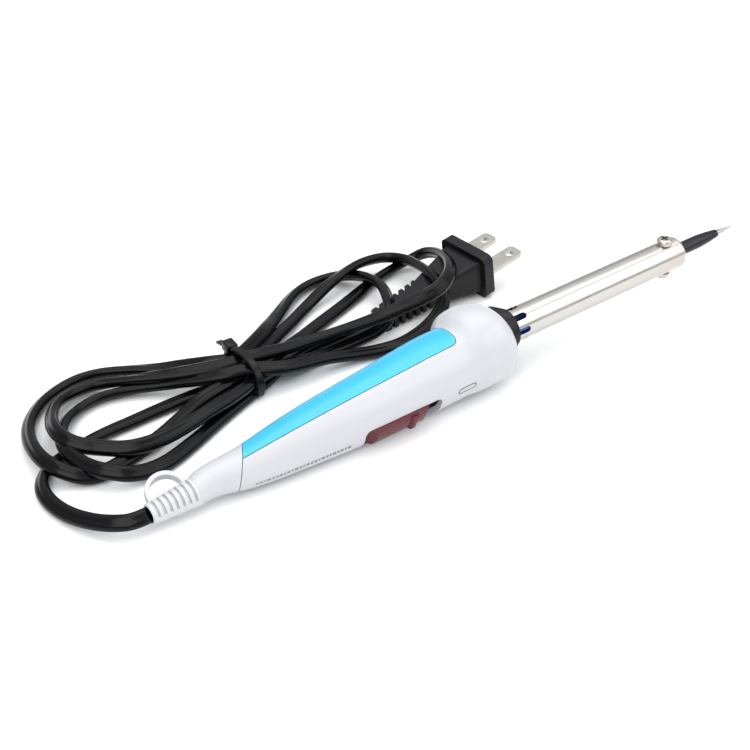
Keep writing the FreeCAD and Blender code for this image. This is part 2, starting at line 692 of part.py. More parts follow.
def outer_mica():
    x1 = heater_end_x()
    return sleeve(x1 - HEATER_LENGTH + 2, x1 - 2, BARREL_RADIUS - BARREL_WALL - 0.3, BIT_RADIUS + 1.8)


def heater_leads():
    leads = []
    for angle in LEAD_ANGLES:
        y, z = polar(LEAD_OFFSET, angle)
        leads.append(rod(NECK_X + 0.3, heater_end_x() - HEATER_LENGTH + 3.95, HEATER_LEAD_RADIUS, y, z))
    return Part.makeCompound(leads)


def lead_sleeves():
    sleeves = []
    for angle in LEAD_ANGLES:
        y, z = polar(LEAD_OFFSET, angle)
        x0 = NECK_X + 2.4
        x1 = heater_end_x() - HEATER_LENGTH - 0.5
        sleeves.append(rod(x0, x1, 1.1, y, z).cut(rod(x0 - 1, x1 + 1, HEATER_LEAD_RADIUS + 0.05, y, z)))
    return Part.makeCompound(sleeves)


# ---- plug, in its own frame: blades along +X, their face on X = 0 ----

def rounded_plate(x0, x1, width, height, corner):
    plate = Part.makeBox(x1 - x0, width, height, vec(x0, -width / 2, -height / 2))
    return plate.makeFillet(corner, [e for e in plate.Edges if e.BoundBox.XLength > (x1 - x0) / 2])


def taper(x0, size0, x1, size1):
    rings = []
    for x, (width, height) in ((x0, size0), (x1, size1)):
        corners = [(-1, -1), (1, -1), (1, 1), (-1, 1), (-1, -1)]
        rings.append(Part.makePolygon([vec(x, a * width / 2, b * height / 2) for a, b in corners]))
    return Part.makeLoft(rings, True, True)


def blade(side):
    """Blade with a narrow tongue at its root, so that the tapered body still covers it."""
    y = side * BLADE_SPACING / 2
    half = BLADE_WIDTH / 2
    strip = Part.makeBox(BLADE_SHOULDER + BLADE_LENGTH, BLADE_WIDTH, BLADE_THICKNESS,
                         vec(-BLADE_SHOULDER, y - half, -BLADE_THICKNESS / 2))
    tips = [e for e in strip.Edges if e.BoundBox.ZLength > 0.5 and e.BoundBox.XMin > BLADE_LENGTH - 0.1]
    strip = strip.makeFillet(1.9, tips)
    tongue = Part.makeBox(BLADE_ROOT, BLADE_TONGUE_WIDTH, BLADE_THICKNESS,
                          vec(-BLADE_ROOT, y - BLADE_TONGUE_WIDTH / 2, -BLADE_THICKNESS / 2))
    strip = fused([strip, tongue])
    return strip.cut(post(BLADE_LENGTH - BLADE_HOLE_FROM_TIP, y, -2, 2, BLADE_HOLE_RADIUS))


def plug_body():
    thick, wide, high = PLUG_FLANGE
    flange = rounded_plate(-thick, 0, wide, high, 2.4)
    rear_x = -thick - PLUG_BODY_LENGTH
    body = taper(rear_x, PLUG_BODY_REAR, -thick + 0.5, PLUG_BODY_FRONT)
    body = body.makeFillet(1.6, [e for e in body.Edges if e.BoundBox.XLength > PLUG_BODY_LENGTH / 2])
    end_x = rear_x - PLUG_RELIEF_LENGTH
    relief = taper(end_x, PLUG_RELIEF_END, rear_x + 0.5, PLUG_BODY_REAR)
    pitch = PLUG_RELIEF_LENGTH / (PLUG_NOTCHES + 0.5)
    for index in range(PLUG_NOTCHES):
        x = end_x + (index + 0.75) * pitch
        for side in (-1, 1):
            notch = Part.makeBox(pitch * 0.5, 4, 20, vec(x, side * 4.7 - 2, -10))
            relief = relief.cut(notch)
    plug = fused([flange, body, relief])
    for side in (-1, 1):
        plug = plug.cut(blade(side))
    return plug


def on_table(shape):
    moved = shape.copy()
    moved.rotate(ORIGIN, vec(0, 1, 0), -PLUG_PITCH)
    moved.rotate(ORIGIN, vec(0, 0, 1), PLUG_YAW)
    moved.translate(vec(*PLUG_FACE))
    return moved


# ---- lead and cable tie, on the table ----

def cord_tube(points, diameter):
    """Tube through corner points: straight runs joined by arcs as large as the runs allow."""
    edges = []
    start = vec(*points[0])
    length = 0.0
    radii = []
    for before, corner, after in zip(points, points[1:], points[2:]):
        run_back = vec(*before) - vec(*corner)
        run_on = vec(*after) - vec(*corner)
        reach = 0.45 * min(run_back.Length, run_on.Length)
        back = run_back.normalize()
        ahead = run_on.normalize()
        half_turn = (math.pi - back.getAngle(ahead)) / 2
        radius = reach / math.tan(half_turn)
        middle = (back + ahead).normalize()
        arc_start = vec(*corner) + back * reach
        arc_end = vec(*corner) + ahead * reach
        centre = vec(*corner) + middle * (radius / math.cos(half_turn))
        line = Part.LineSegment(start, arc_start).toShape()
        arc = Part.Arc(arc_start, centre - middle * radius, arc_end).toShape()
        edges += [line, arc]
        length += line.Length + arc.Length
        radii.append(radius)
        start = arc_end
    last = Part.LineSegment(start, vec(*points[-1])).toShape()
    edges.append(last)
    length += last.Length
    ring = Part.Wire(Part.makeCircle(diameter / 2, vec(*points[0]), vec(*points[1]) - vec(*points[0])))
    tube = Part.Wire(edges).makePipeShell([ring], True, True)
    expected = math.pi * diameter ** 2 / 4 * length
    print("cord tube: length %.1f, radii %s, volume / section x length %.4f"
          % (length, [round(r, 1) for r in radii], tube.Volume / expected))
    return tube


def outline_slab(points, bottom, top):
    curve = Part.BSplineCurve()
    curve.interpolate([vec(x, y, bottom) for x, y in points], PeriodicFlag=True)
    return Part.Face(Part.Wire(curve.toShape())).extrude(vec(0, 0, top - bottom))


def plug_room():
    """Space round the plug that the folded lead leaves free."""
    thick, wide, high = PLUG_FLANGE
    rear = -thick - PLUG_BODY_LENGTH
    end = rear - PLUG_RELIEF_LENGTH
    width = PLUG_BODY_REAR[0] + 2
    tail = Part.makeBox(PLUG_RELIEF_LENGTH + 1, width, 60, vec(end, -width / 2, -60 + 4.4))
    low = Part.makeBox(-rear + 30, wide + 3, 60, vec(rear, -wide / 2 - 1.5, -60 + high / 2 + 0.4))
    return on_table(low.fuse(tail))


def cord_hank():
    low_room = plug_room()
    left = outline_slab(LEFT_OUTLINE, 0.1, HANK_HEIGHT)
    right = outline_slab(RIGHT_OUTLINE, 0.1, HANK_HEIGHT)
    inset = TIE_THICKNESS + 0.1
    waist = Part.makeBox(14, BUNDLE_Y[1] - BUNDLE_Y[0] - 2 * inset, BUNDLE_TOP - 2 * inset,
                         vec(TIE_X - 7, BUNDLE_Y[0] + inset, inset))
    waist = waist.makeFillet(3.0, [e for e in waist.Edges if e.BoundBox.XLength > 1])
    bridge = outline_slab(RIGHT_OUTLINE, 0.1, BRIDGE_HEIGHT)
    bridge = bridge.common(Part.makeBox(BRIDGE_X[1] - BRIDGE_X[0], 200, 100, vec(BRIDGE_X[0], -100, 0)))
    tie_room = Part.makeBox(TIE_WIDTH + 0.2, 100, 40, vec(TIE_X - TIE_WIDTH / 2 - 0.1, 0, -10))
    lobes = fused([left, right, bridge]).cut(low_room).cut(tie_room)
    return fused([lobes, waist])


def cable_tie():
    y0, y1 = BUNDLE_Y
    outer = Part.makeBox(TIE_WIDTH, y1 - y0, BUNDLE_TOP, vec(TIE_X - TIE_WIDTH / 2, y0, 0.0))
    outer = outer.makeFillet(3.4, [e for e in outer.Edges if e.BoundBox.XLength > 1])
    inner = Part.makeBox(TIE_WIDTH + 2, y1 - y0 - 2 * TIE_THICKNESS, BUNDLE_TOP - 2 * TIE_THICKNESS,
                         vec(TIE_X - TIE_WIDTH / 2 - 1, y0 + TIE_THICKNESS, TIE_THICKNESS))
    inner = inner.makeFillet(2.5, [e for e in inner.Edges if e.BoundBox.XLength > 1])
    head = Part.makeBox(4.6, 4.2, 4.4, vec(TIE_X - 2.3, y1 - 3.4, BUNDLE_TOP - TIE_THICKNESS))
    stub = Part.makeBox(2.6, 6.0, 1.1, vec(TIE_X - 1.3, y1 - 0.2, BUNDLE_TOP + 0.2))
    stub.rotate(vec(TIE_X, y1, BUNDLE_TOP), vec(1, 0, 0), 38)
    return fused([outer.cut(inner), head.cut(inner), stub])


# ---- assembly ----

def iron_pieces():
    return {
        "handle_housing": handle_housing(),
        "back_cover": back_cover(),
        "rear_cone": rear_cone(),
        "strain_relief": strain_relief(),
        "cord_in_handle": cord_in_handle(),
        "cord_clamp": cord_clamp(),
        "cord_clamp_screws": cord_clamp_screws(),
        "power_slider": power_slider(),
        "switch_lever": switch_lever(),
        "switch_body": switch_body(),
        "switch_terminals": switch_terminals(),
        "rectifier_diode": rectifier_diode(),
        "live_conductor": live_conductor(),
        "neutral_conductor": neutral_conductor(),
        "switch_lead": switch_lead(),
        "crimp_splices": crimp_splices(),
        "front_collar": front_collar(),
        "barrel_tube": barrel_tube(),
        "barrel_flange": barrel_flange(),
        "flange_screws": flange_screws(),
        "bit_bush": bit_bush(),
        "set_screw_upper": set_screw(SET_SCREW_ANGLE),
        "set_screw_lower": set_screw(SET_SCREW_ANGLE + 180),
        "soldering_bit": soldering_bit(),
        "heater_core": heater_core(),
        "inner_mica_sleeve": inner_mica(),
        "heater_winding": heater_winding(),
        "outer_mica_sleeve": outer_mica(),
        "heater_leads": heater_leads(),
        "lead_sleeves": lead_sleeves(),
    }


def laid_down(shape):
    """Rolls the iron on its side and tips it up so that it lies on its head and its body."""
    moved = shape.copy()
    moved.rotate(ORIGIN, AXIS, ROLL)
    moved.rotate(ORIGIN, vec(0, 1, 0), -PITCH)
    return moved


def place_iron(pieces):
    """Lays the pieces down and puts the middle of their footprint at the origin, on the table."""
    laid = {name: laid_down(shape) for name, shape in pieces.items()}
    bounds = Part.makeCompound(list(laid.values())).optimalBoundingBox(False, False)
    shift = vec(-bounds.Center.x, -bounds.Center.y, -bounds.ZMin)
    for shape in laid.values():
        shape.translate(shift)
    return laid, shift


def main():
    pieces, shift = place_iron(iron_pieces())
    exit_point = laid_down(Part.Vertex(tilted(Part.Vertex(ORIGIN)).Point)).Point + shift
    exit_ahead = laid_down(Part.Vertex(tilted(Part.Vertex(vec(-EXIT_RUN, 0, 0))).Point)).Point + shift
    print("shift", shift, "exit", exit_point, "next", exit_ahead)
    slip = vec(exit_point.x - TAIL_ORIGIN_X, 0, 0)
    tail = [tuple(exit_point - slip), tuple(exit_ahead - slip)] + TAIL_POINTS
    lead = {
        "cord_tail": cord_tube(tail, CORD_DIAMETER),
        "cord_hank": cord_hank(),
        "cable_tie": cable_tie(),
        "plug_body": on_table(plug_body()),
        "plug_blades": on_table(Part.makeCompound([blade(-1), blade(1)])),
    }
    for name, shape in lead.items():
        shape.translate(slip)
        pieces[name] = shape
    os.makedirs("parts", exist_ok=True)
    for name, shape in pieces.items():
        shape.exportStep(os.path.join("parts", name + ".step"))


main()
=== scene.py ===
"""Looks of a mains soldering iron, drawn around its CAD frame, in metres.

It gives the CAD nodes their materials, draws the folded lead, the tie round it and the printed
marks on the handle, and adds the floor, the light and the camera.
"""
import json
import math

import bmesh
import bpy
from mathutils import Matrix, Vector
from mathutils.bvhtree import BVHTree


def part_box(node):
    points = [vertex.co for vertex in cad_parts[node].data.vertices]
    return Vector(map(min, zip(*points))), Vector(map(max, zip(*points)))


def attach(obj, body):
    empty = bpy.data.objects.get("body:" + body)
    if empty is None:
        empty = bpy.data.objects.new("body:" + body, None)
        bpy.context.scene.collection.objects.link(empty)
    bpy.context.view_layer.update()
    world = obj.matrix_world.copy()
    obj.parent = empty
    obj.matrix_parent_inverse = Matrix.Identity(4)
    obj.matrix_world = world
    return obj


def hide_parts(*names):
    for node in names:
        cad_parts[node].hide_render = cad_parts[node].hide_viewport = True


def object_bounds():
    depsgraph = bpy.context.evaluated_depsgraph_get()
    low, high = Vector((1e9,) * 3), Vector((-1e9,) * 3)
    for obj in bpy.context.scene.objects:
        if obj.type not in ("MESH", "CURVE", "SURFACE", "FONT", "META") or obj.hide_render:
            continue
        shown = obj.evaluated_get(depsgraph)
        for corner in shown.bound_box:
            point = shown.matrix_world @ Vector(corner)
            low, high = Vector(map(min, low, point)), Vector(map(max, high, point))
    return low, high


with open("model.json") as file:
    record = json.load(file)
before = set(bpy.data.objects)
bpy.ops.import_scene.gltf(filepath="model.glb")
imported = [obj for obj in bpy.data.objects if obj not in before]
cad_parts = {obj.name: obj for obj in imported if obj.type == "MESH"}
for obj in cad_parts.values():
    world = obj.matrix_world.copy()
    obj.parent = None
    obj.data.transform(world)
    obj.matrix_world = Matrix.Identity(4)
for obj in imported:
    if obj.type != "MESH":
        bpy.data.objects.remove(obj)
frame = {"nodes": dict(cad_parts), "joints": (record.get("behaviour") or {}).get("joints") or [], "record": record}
cad_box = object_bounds()
NODES = frame["nodes"]

# ---- the lead's size and route ----

LEAD_WIDTH = 0.0050
LEAD_THICKNESS = 0.0032

# from the strain relief to the first lobe, where the lead follows the CAD part's own points
TAIL = [
    (-0.1182, -0.0048, 0.0060), (-0.1228, -0.0049, 0.0057), (-0.1275, -0.0020, 0.0053),
    (-0.1312, 0.0030, 0.0043), (-0.1344, 0.0098, 0.0032), (-0.1364, 0.0168, 0.0026),
    (-0.1370, 0.0236, 0.0026), (-0.1356, 0.0296, 0.0026), (-0.1316, 0.0348, 0.0026),
    (-0.1254, 0.0386, 0.0026),
]
# the seven runs through the tie, with the lobes left and right of it
ALONG_TO_TIE = [
    (-0.1095, 0.0420, 0.0026), (-0.0995, 0.0425, 0.0026), (-0.0880, 0.0435, 0.0026),
    (-0.0755, 0.0440, 0.0026), (-0.0670, 0.0425, 0.0026), (-0.0590, 0.0420, 0.0026),
    (-0.0490, 0.0460, 0.0026),
]
RIGHT_BEHIND_AND_OVER_PLUG = [
    (-0.0395, 0.0490, 0.0027), (-0.0305, 0.0520, 0.0027), (-0.0205, 0.0560, 0.0027),
    (-0.0095, 0.0600, 0.0027), (0.0015, 0.0645, 0.0027), (0.0110, 0.0685, 0.0027),
    (0.0195, 0.0705, 0.0027), (0.0250, 0.0710, 0.0032), (0.0300, 0.0700, 0.0046),
    (0.0330, 0.0670, 0.0070), (0.0325, 0.0595, 0.0104), (0.0290, 0.0495, 0.0140),
    (0.0235, 0.0405, 0.0164), (0.0175, 0.0345, 0.0170), (0.0115, 0.0320, 0.0162),
    (0.0060, 0.0325, 0.0146), (-0.0005, 0.0345, 0.0126), (-0.0080, 0.0360, 0.0108),
    (-0.0160, 0.0390, 0.0086), (-0.0240, 0.0415, 0.0070), (-0.0340, 0.0425, 0.0068),
    (-0.0440, 0.0425, 0.0076), (-0.0590, 0.0440, 0.0087),
]
LEFT_MIDDLE = [
    (-0.0635, 0.0440, 0.0086), (-0.0705, 0.0465, 0.0080), (-0.0775, 0.0500, 0.0072),
    (-0.0855, 0.0550, 0.0060), (-0.0930, 0.0605, 0.0046), (-0.0995, 0.0655, 0.0032),
    (-0.1065, 0.0655, 0.0034), (-0.1145, 0.0625, 0.0042), (-0.1200, 0.0550, 0.0056),
    (-0.1235, 0.0455, 0.0080), (-0.1235, 0.0380, 0.0086), (-0.1205, 0.0340, 0.0074),
    (-0.1150, 0.0310, 0.0059), (-0.1095, 0.0265, 0.0058), (-0.1030, 0.0245, 0.0060),
    (-0.0960, 0.0245, 0.0060), (-0.0875, 0.0265, 0.0058), (-0.0785, 0.0290, 0.0058),
    (-0.0695, 0.0310, 0.0058), (-0.0590, 0.0350, 0.0057),
]
RIGHT_SHORT = [
    (-0.0505, 0.0370, 0.0057), (-0.0430, 0.0380, 0.0048), (-0.0340, 0.0390, 0.0030),
    (-0.0240, 0.0395, 0.0027), (-0.0150, 0.0400, 0.0028), (-0.0085, 0.0390, 0.0038),
    (-0.0040, 0.0390, 0.0066), (-0.0010, 0.0420, 0.0086), (0.0025, 0.0485, 0.0084),
    (0.0060, 0.0560, 0.0074), (0.0070, 0.0635, 0.0062), (0.0060, 0.0705, 0.0049),
    (0.0030, 0.0765, 0.0032), (-0.0030, 0.0790, 0.0027), (-0.0105, 0.0790, 0.0027),
    (-0.0180, 0.0765, 0.0027), (-0.0265, 0.0705, 0.0029), (-0.0355, 0.0630, 0.0042),
    (-0.0460, 0.0535, 0.0070), (-0.0590, 0.0470, 0.0066),
]
LEFT_WIDE = [
    (-0.0655, 0.0495, 0.0070), (-0.0720, 0.0555, 0.0050), (-0.0795, 0.0615, 0.0038),
    (-0.0870, 0.0675, 0.0030), (-0.0950, 0.0720, 0.0026), (-0.1035, 0.0730, 0.0026),
    (-0.1125, 0.0705, 0.0026), (-0.1200, 0.0660, 0.0026), (-0.1265, 0.0585, 0.0028),
    (-0.1305, 0.0480, 0.0042), (-0.1320, 0.0370, 0.0058), (-0.1300, 0.0300, 0.0055),
    (-0.1265, 0.0260, 0.0042), (-0.1225, 0.0240, 0.0029), (-0.1170, 0.0240, 0.0026),
    (-0.1105, 0.0255, 0.0026), (-0.1025, 0.0280, 0.0026), (-0.0940, 0.0315, 0.0027),
    (-0.0845, 0.0350, 0.0036), (-0.0765, 0.0365, 0.0056), (-0.0675, 0.0385, 0.0056),
    (-0.0590, 0.0415, 0.0056),
]
RIGHT_LONG = [
    (-0.0470, 0.0500, 0.0046), (-0.0385, 0.0555, 0.0038), (-0.0285, 0.0615, 0.0028),
    (-0.0190, 0.0670, 0.0028), (-0.0105, 0.0695, 0.0048), (-0.0025, 0.0710, 0.0070),
    (0.0070, 0.0740, 0.0072), (0.0155, 0.0745, 0.0066), (0.0210, 0.0725, 0.0064),
    (0.0240, 0.0660, 0.0074), (0.0225, 0.0565, 0.0098), (0.0200, 0.0460, 0.0120),
    (0.0185, 0.0395, 0.0118), (0.0180, 0.0365, 0.0090), (0.0160, 0.0350, 0.0058),
    (0.0110, 0.0335, 0.0032), (0.0025, 0.0305, 0.0026), (-0.0060, 0.0290, 0.0026),
    (-0.0145, 0.0305, 0.0028), (-0.0235, 0.0320, 0.0038), (-0.0340, 0.0330, 0.0054),
    (-0.0445, 0.0325, 0.0072), (-0.0530, 0.0335, 0.0084), (-0.0590, 0.0380, 0.0087),
]
LEFT_INNER = [
    (-0.0670, 0.0395, 0.0083), (-0.0735, 0.0445, 0.0064), (-0.0805, 0.0505, 0.0044),
    (-0.0880, 0.0555, 0.0032), (-0.0955, 0.0585, 0.0027), (-0.1030, 0.0595, 0.0026),
    (-0.1100, 0.0575, 0.0026), (-0.1150, 0.0545, 0.0028), (-0.1200, 0.0480, 0.0042),
    (-0.1230, 0.0410, 0.0055), (-0.1240, 0.0350, 0.0059), (-0.1235, 0.0295, 0.0058),
    (-0.1215, 0.0235, 0.0059), (-0.1180, 0.0190, 0.0058), (-0.1135, 0.0160, 0.0048),
    (-0.1070, 0.0160, 0.0034), (-0.0995, 0.0175, 0.0027), (-0.0900, 0.0215, 0.0026),
    (-0.0795, 0.0265, 0.0026), (-0.0705, 0.0305, 0.0026), (-0.0590, 0.0350, 0.0026),
]
INTO_PLUG = [
    (-0.0510, 0.0385, 0.0026), (-0.0430, 0.0425, 0.0026), (-0.0330, 0.0455, 0.0026),
    (-0.0220, 0.0460, 0.0026), (-0.0120, 0.0450, 0.0026), (-0.0035, 0.0445, 0.0029),
]

ROUTE = (TAIL + ALONG_TO_TIE + RIGHT_BEHIND_AND_OVER_PLUG + LEFT_MIDDLE + RIGHT_SHORT
         + LEFT_WIDE + RIGHT_LONG + LEFT_INNER + INTO_PLUG)


# ---- materials ----

def new_material(name, colour, roughness, metallic=0.0, **shader):
    """A Principled material; other sockets are set by name, with _ for spaces."""
    material = bpy.data.materials.new(name)
    material.use_nodes = True
    principled = material.node_tree.nodes["Principled BSDF"]
    principled.inputs["Base Color"].default_value = (*colour, 1.0)
    principled.inputs["Roughness"].default_value = roughness
    principled.inputs["Metallic"].default_value = metallic
    for socket, value in shader.items():
        principled.inputs[socket.replace("_", " ")].default_value = value
    return material, material.node_tree, principled


def add_node(tree, kind, **values):
    """A new node; each value goes to the socket of that name, or else to the node's own setting."""
    node = tree.nodes.new(kind)
    for key, value in values.items():
        if key in node.inputs:
            node.inputs[key].default_value = value
        else:
            setattr(node, key, value)
    return node


def position(tree, stretch=(1.0, 1.0, 1.0)):
    """Coordinates in metres, fixed to the piece."""
    coordinates = add_node(tree, "ShaderNodeTexCoord")
    mapping = add_node(tree, "ShaderNodeMapping")
    mapping.inputs["Scale"].default_value = stretch
    tree.links.new(coordinates.outputs["Object"], mapping.inputs["Vector"])
    return mapping.outputs["Vector"]


def noise(tree, grain, detail=3.0, stretch=(1.0, 1.0, 1.0)):
    """Noise with a grain of that size in metres."""
    node = add_node(tree, "ShaderNodeTexNoise", Scale=1.0 / grain, Detail=detail)
    tree.links.new(position(tree, stretch), node.inputs["Vector"])
    return node.outputs["Fac"]


def ramp(tree, factor, stops):
    """Colour from a factor, by straight lines between stops of (place, colour)."""
    node = add_node(tree, "ShaderNodeValToRGB")
    elements = node.color_ramp.elements
    while len(elements) < len(stops):
        elements.new(0.5)
    for element, (place, colour) in zip(elements, stops):
        element.position = place
        element.color = (*colour, 1.0)
    tree.links.new(factor, node.inputs["Fac"])
    return node.outputs["Color"]


def spread(tree, factor, low, high, start=0.3, end=0.7):
    """Turns a factor from start to end into a value from low to high."""
    node = add_node(tree, "ShaderNodeMapRange")
    limits = {"From Min": start, "From Max": end, "To Min": low, "To Max": high}
    for socket, value in limits.items():
        node.inputs[socket].default_value = value
    tree.links.new(factor, node.inputs["Value"])
    return node.outputs["Result"]


def bump(tree, shader, height, depth):
    """Bumps of that depth in metres."""
    node = add_node(tree, "ShaderNodeBump", Distance=depth, Strength=1.0)
    tree.links.new(height, node.inputs["Height"])
    tree.links.new(node.outputs["Normal"], shader.inputs["Normal"])


def shade(colour, factor):
    """The colour made darker or lighter."""
    return tuple(min(1.0, channel * factor) for channel in colour)


def cloudy(tree, shader, colour, variation, clouds, start, end):
    """Base colour that drifts between a darker and a lighter shade with the clouds."""
    stops = [(start, shade(colour, 1.0 - variation)), (end, shade(colour, 1.0 + variation))]
    tree.links.new(ramp(tree, clouds, stops), shader.inputs["Base Color"])


def uneven_gloss(tree, shader, marks, low, high):
    """Roughness that runs from low to high with the marks."""
    tree.links.new(spread(tree, marks, low, high), shader.inputs["Roughness"])


# sizes of the clouds, smears and marks in metres
PLASTIC_CLOUDS = 0.018
PLASTIC_SMEARS = 0.02
METAL_CLOUDS = 0.012
METAL_MARKS = 0.004
BIT_MARKS = 0.003


def moulded(name, colour, roughness, grain, depth, variation, **shader):
    """Moulded plastic: cloudy colour, uneven gloss and a fine spark-eroded grain."""
    material, tree, principled = new_material(name, colour, roughness, **shader)
    cloudy(tree, principled, colour, variation, noise(tree, PLASTIC_CLOUDS, detail=4.0), 0.3, 0.7)
    smears = noise(tree, PLASTIC_SMEARS)
    uneven_gloss(tree, principled, smears, roughness * 0.92, roughness * 1.1)
    bump(tree, principled, noise(tree, grain, detail=2.0), depth)
    return material


def metal(name, colour, roughness, grain, depth):
    """Plated metal: a fine grain, faint clouds and handling marks in the gloss."""
    material, tree, principled = new_material(name, colour, roughness, metallic=1.0)
    cloudy(tree, principled, colour, 0.05, noise(tree, METAL_CLOUDS, detail=5.0), 0.25, 0.75)
    marks = noise(tree, METAL_MARKS, detail=6.0)
    uneven_gloss(tree, principled, marks, roughness * 0.7, roughness * 1.5)
    bump(tree, principled, noise(tree, grain, detail=2.0), depth)
    return material


def along(tree, start, end):
    """0 at one x and 1 at another, in metres."""
    separate = add_node(tree, "ShaderNodeSeparateXYZ")
    tree.links.new(position(tree), separate.inputs["Vector"])
    return spread(tree, separate.outputs["X"], 0.0, 1.0, start, end)


MARKS_STRETCH = (0.25, 1.0, 1.0)
DRAW_LINES_STRETCH = (0.1, 1.0, 1.0)
BIT_STRETCH = (0.3, 1.0, 1.0)

# the tinned point's length in metres, and the width of its edge as a share of the bit's length
TINNED_POINT = 0.0083
TINNING_EDGE = 0.004


def barrel_metal():
    """Nickel that has been hot: lines along the tube, and a straw tint towards the bit's end."""
    low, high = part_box("barrel_tube")
    material, tree, principled = new_material("bright_nickel", (0.80, 0.78, 0.75), 0.2, metallic=1.0)
    tint = ramp(tree, along(tree, low.x, high.x), [
        (0.0, (0.53, 0.515, 0.495)), (0.55, (0.55, 0.53, 0.505)),
        (0.86, (0.54, 0.51, 0.47)), (1.0, (0.52, 0.48, 0.43))])
    tree.links.new(tint, principled.inputs["Base Color"])
    marks = noise(tree, METAL_MARKS, 6.0, MARKS_STRETCH)
    uneven_gloss(tree, principled, marks, 0.17, 0.26)
    bump(tree, principled, noise(tree, 0.0009, 2.0, DRAW_LINES_STRETCH), depth=0.000012)
    return material


def bit_metal():
    """Black-plated shank with a bright tinned point."""
    low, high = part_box("soldering_bit")
    point = 1.0 - TINNED_POINT / (high.x - low.x)
    material, tree, principled = new_material("plated_bit", (0.05, 0.05, 0.052), 0.34, metallic=1.0)
    place = along(tree, low.x, high.x)
    stops = [(0.0, (0.045, 0.045, 0.05)), (point - TINNING_EDGE, (0.035, 0.035, 0.04)),
             (point, (0.46, 0.45, 0.44)), (1.0, (0.52, 0.51, 0.49))]
    tree.links.new(ramp(tree, place, stops), principled.inputs["Base Color"])
    marks = noise(tree, BIT_MARKS, 6.0, BIT_STRETCH)
    uneven_gloss(tree, principled, marks, 0.25, 0.42)
    bump(tree, principled, noise(tree, 0.0006), depth=0.00002)
    return material


def braid(name, colour):
    """Woven glass-fibre sleeving."""
    material, tree, principled = new_material(name, colour, 0.75)
    threads = add_node(tree, "ShaderNodeTexWave", Scale=900.0, Distortion=1.5, bands_direction="DIAGONAL")
    tree.links.new(position(tree), threads.inputs["Vector"])
    stops = [(0.0, shade(colour, 0.6)), (1.0, shade(colour, 1.3))]
    tree.links.new(ramp(tree, threads.outputs["Fac"], stops), principled.inputs["Base Color"])
    bump(tree, principled, threads.outputs["Fac"], depth=0.0001)
    return material


# plastics: colour, roughness, grain and bump depth in metres, how far the colour drifts
# metals: colour, roughness, grain and bump depth in metres
MATERIALS = {
    "white_plastic": moulded("white_plastic", (0.50, 0.505, 0.53), 0.32, 0.0007, 0.000006, 0.008,
                             Coat_Weight=0.15, Coat_Roughness=0.18),
    "blue_plastic": moulded("blue_plastic", (0.022, 0.42, 0.66), 0.30, 0.0006, 0.000006, 0.02,
                            Coat_Weight=0.15, Coat_Roughness=0.2),
    "maroon_plastic": moulded("maroon_plastic", (0.095, 0.007, 0.013), 0.34, 0.0005, 0.00002, 0.08,
                              Specular_IOR_Level=0.3),
    "black_plastic": moulded("black_plastic", (0.004, 0.004, 0.005), 0.28, 0.0007, 0.00003, 0.12,
                             Specular_IOR_Level=0.25),
    "dark_plastic": moulded("dark_plastic", (0.035, 0.035, 0.038), 0.5, 0.0006, 0.00003, 0.1),
    "white_rubber": moulded("white_rubber", (0.54, 0.54, 0.55), 0.45, 0.0005, 0.00002, 0.02),
    "black_cord": moulded("lead_vinyl", (0.0018, 0.0018, 0.0023), 0.22, 0.0012, 0.00002, 0.15,
                          Specular_IOR_Level=0.17),
    "black_plug": moulded("black_plug", (0.005, 0.005, 0.006), 0.36, 0.0006, 0.00003, 0.12,
                          Specular_IOR_Level=0.22),
    "black_nylon": moulded("black_nylon", (0.003, 0.003, 0.0035), 0.25, 0.0008, 0.00003, 0.1,
                           Specular_IOR_Level=0.2),
    "black_wire": moulded("black_wire", (0.02, 0.02, 0.02), 0.4, 0.0008, 0.00003, 0.1),
    "white_wire": moulded("white_wire", (0.7, 0.7, 0.67), 0.4, 0.0008, 0.00003, 0.03),
    "mica": moulded("mica", (0.55, 0.47, 0.33), 0.5, 0.001, 0.00008, 0.15),
    "grey_print": moulded("grey_print", (0.14, 0.14, 0.15), 0.5, 0.0006, 0.00001, 0.15),
    "nickel": metal("nickel", (0.50, 0.48, 0.44), 0.22, 0.0008, 0.000015),
    "plated_steel": metal("plated_steel", (0.60, 0.59, 0.57), 0.32, 0.0006, 0.00002),
    "brass": metal("brass", (0.72, 0.57, 0.28), 0.3, 0.0006, 0.00002),
    "heater_wire": metal("heater_wire", (0.42, 0.38, 0.34), 0.4, 0.0005, 0.00002),
    "barrel": barrel_metal(),
    "bit_metal": bit_metal(),
    "blue_sleeve": braid("blue_sleeve", (0.05, 0.12, 0.42)),
}
SLOT_OF = {part["node"]: part["material_slot"] for part in frame["record"]["subparts"]}


def dress_cad_nodes():
    """Gives every CAD node the material of its slot; the bright barrel has one of its own."""
    for name, node in NODES.items():
        finish = "barrel" if name == "barrel_tube" else SLOT_OF[name]
        node.data.materials.clear()
        node.data.materials.append(MATERIALS[finish])


def piece(name, mesh, finish):
    """Links a finished mesh as a smooth piece that rides on the iron."""
    obj = bpy.data.objects.new(name, mesh)
    bpy.context.scene.collection.objects.link(obj)
    mesh.materials.append(MATERIALS[finish])
    mesh.shade_smooth()
    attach(obj, "iron")
    return obj


# ---- lead ----

LEAD_STEP = 0.0016
ROUTE_RESOLUTION = 14
CORE_OFFSET = (LEAD_WIDTH - LEAD_THICKNESS) / 2
CORE_RADIUS = LEAD_THICKNESS / 2
CORE_SIDES = 9
GROOVE_SHARE = 0.82

# where the lead bends in plan it stands up towards its edge
EDGE_TURN = math.radians(52)
BEND_THAT_TURNS = 30.0
SMOOTHING = 9
SMOOTHING_PASSES = 2

# below the first height the lead lies on the floor, above the second it lies on other runs
STACK_START = 0.0027
STACK_FULL = 0.0052


